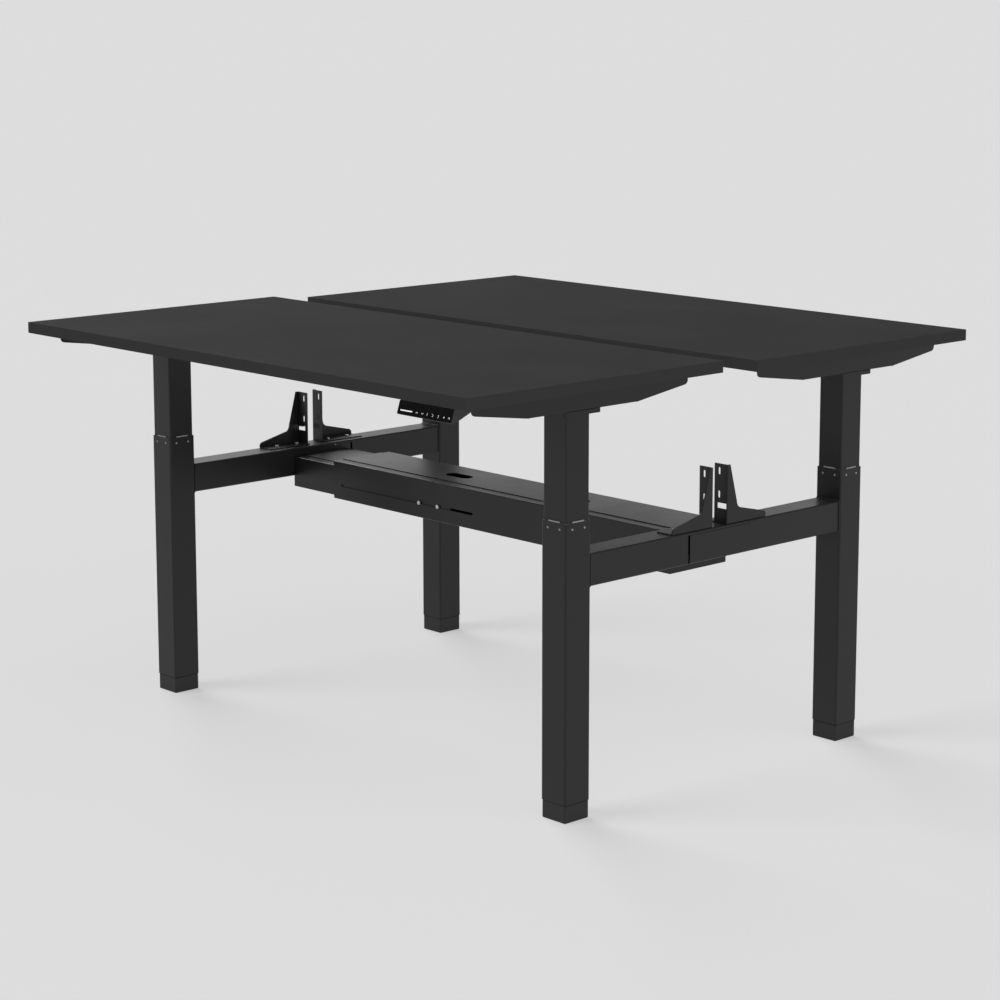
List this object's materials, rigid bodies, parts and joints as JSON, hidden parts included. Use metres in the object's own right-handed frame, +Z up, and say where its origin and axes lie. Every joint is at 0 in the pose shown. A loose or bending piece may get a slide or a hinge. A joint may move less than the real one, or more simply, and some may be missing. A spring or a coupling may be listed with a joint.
{
  "type": "height adjustable standing desk",
  "caption": "Back-to-back sit-stand desk: two black desktops on telescoping square legs, joined by end beams, a lidded cable tray and screen brackets.",
  "frame": {"origin": "on the floor under the middle of the whole desk", "axes": "+X along the desktops towards the front desk's right-hand end, +Y from the front desk to the rear desk, +Z up"},
  "size_m": [1.5, 1.5414, 0.913],
  "materials": {
    "frame_black": "satin powder coat, fine grain",
    "tray_black": "satin powder coat on folded sheet",
    "laminate": "black laminate on board with matching edge band, matt",
    "shoe_plastic": "moulded black nylon",
    "bright_steel": "rolled thread",
    "zinc_bolts": "bright zinc plate",
    "motor_black": "black cast and drawn case",
    "case_plastic": "fine spark texture",
    "touch_glass": "gloss black touch panel",
    "nut_plastic": "natural acetal",
    "glide_plastic": "pale grey acetal"
  },
  "bodies": {
    "base": {"lower_tube_front_left": "frame_black", "lower_tube_front_right": "frame_black", "lower_tube_rear_left": "frame_black", "lower_tube_rear_right": "frame_black", "push_columns": "frame_black", "spindle_nuts": "nut_plastic", "glide_bushes": "glide_plastic", "crossbeam_front_left": "frame_black", "crossbeam_rear_left": "frame_black", "beam_splice_left": "frame_black", "screen_bracket_front_left": "frame_black", "screen_bracket_rear_left": "frame_black", "crossbeam_front_right": "frame_black", "crossbeam_rear_right": "frame_black", "beam_splice_right": "frame_black", "screen_bracket_front_right": "frame_black", "screen_bracket_rear_right": "frame_black", "bracket_bolts": "zinc_bolts", "splice_bolts": "zinc_bolts", "tray_bolts": "zinc_bolts", "tray_outer": "tray_black", "tray_inner": "tray_black"},
    "lid_long": {"tray_lid_long": "tray_black"},
    "lid_short": {"tray_lid_short": "tray_black"},
    "front_desk": {"desktop_front": "laminate", "leg_plates_front": "frame_black", "top_rails_front": "frame_black", "fixing_screws_front": "zinc_bolts", "handset_case_front": "case_plastic", "handset_glass_front": "touch_glass", "control_box_front": "case_plastic", "upper_tube_front_left": "frame_black", "side_arm_front_left": "frame_black", "gearmotor_front_left": "motor_black", "upper_tube_front_right": "frame_black", "side_arm_front_right": "frame_black", "gearmotor_front_right": "motor_black"},
    "rear_desk": {"desktop_rear": "laminate", "leg_plates_rear": "frame_black", "top_rails_rear": "frame_black", "fixing_screws_rear": "zinc_bolts", "handset_case_rear": "case_plastic", "handset_glass_rear": "touch_glass", "control_box_rear": "case_plastic", "upper_tube_rear_left": "frame_black", "side_arm_rear_left": "frame_black", "gearmotor_rear_left": "motor_black", "upper_tube_rear_right": "frame_black", "side_arm_rear_right": "frame_black", "gearmotor_rear_right": "motor_black"},
    "screw_front_left": {"spindle_front_left": "bright_steel"},
    "shoe_front_left": {"foot_front_left": "shoe_plastic"},
    "screw_front_right": {"spindle_front_right": "bright_steel"},
    "shoe_front_right": {"foot_front_right": "shoe_plastic"},
    "screw_rear_left": {"spindle_rear_left": "bright_steel"},
    "shoe_rear_left": {"foot_rear_left": "shoe_plastic"},
    "screw_rear_right": {"spindle_rear_right": "bright_steel"},
    "shoe_rear_right": {"foot_rear_right": "shoe_plastic"}
  },
  "joints": [
    {"name": "front_lift", "type": "slide", "parent": "base", "child": "front_desk", "axis": [0, 0, 1], "range_m": [-0.205, 0.27]},
    {"name": "rear_lift", "type": "slide", "parent": "base", "child": "rear_desk", "axis": [0, 0, 1], "range_m": [-0.195, 0.28]},
    {"name": "screw_turn_front_left", "type": "hinge", "parent": "front_desk", "child": "screw_front_left", "pos_m": [-0.668, -0.423, 0.8], "axis": [0, 0, 1], "range_deg": [-4613, 6076]},
    {"name": "shoe_level_front_left", "type": "slide", "parent": "base", "child": "shoe_front_left", "axis": [0, 0, 1], "range_m": [-0.012, 0]},
    {"name": "screw_turn_front_right", "type": "hinge", "parent": "front_desk", "child": "screw_front_right", "pos_m": [0.668, -0.423, 0.8], "axis": [0, 0, 1], "range_deg": [-4613, 6076]},
    {"name": "shoe_level_front_right", "type": "slide", "parent": "base", "child": "shoe_front_right", "axis": [0, 0, 1], "range_m": [-0.012, 0]},
    {"name": "screw_turn_rear_left", "type": "hinge", "parent": "rear_desk", "child": "screw_rear_left", "pos_m": [-0.668, 0.423, 0.8], "axis": [0, 0, 1], "range_deg": [-4388, 6301]},
    {"name": "shoe_level_rear_left", "type": "slide", "parent": "base", "child": "shoe_rear_left", "axis": [0, 0, 1], "range_m": [-0.012, 0]},
    {"name": "screw_turn_rear_right", "type": "hinge", "parent": "rear_desk", "child": "screw_rear_right", "pos_m": [0.668, 0.423, 0.8], "axis": [0, 0, 1], "range_deg": [-4388, 6301]},
    {"name": "shoe_level_rear_right", "type": "slide", "parent": "base", "child": "shoe_rear_right", "axis": [0, 0, 1], "range_m": [-0.012, 0]},
    {"name": "lid_long_lift", "type": "slide", "parent": "base", "child": "lid_long", "axis": [0, 0, 1], "range_m": [0, 0.08]},
    {"name": "lid_short_lift", "type": "slide", "parent": "base", "child": "lid_short", "axis": [0, 0, 1], "range_m": [0, 0.08]}
  ],
  "couplings": [
    {"joint": "screw_turn_front_left", "follows": "front_lift", "rad_per_m": 392.7},
    {"joint": "screw_turn_front_right", "follows": "front_lift", "rad_per_m": 392.7},
    {"joint": "screw_turn_rear_left", "follows": "rear_lift", "rad_per_m": 392.7},
    {"joint": "screw_turn_rear_right", "follows": "rear_lift", "rad_per_m": 392.7}
  ]
}
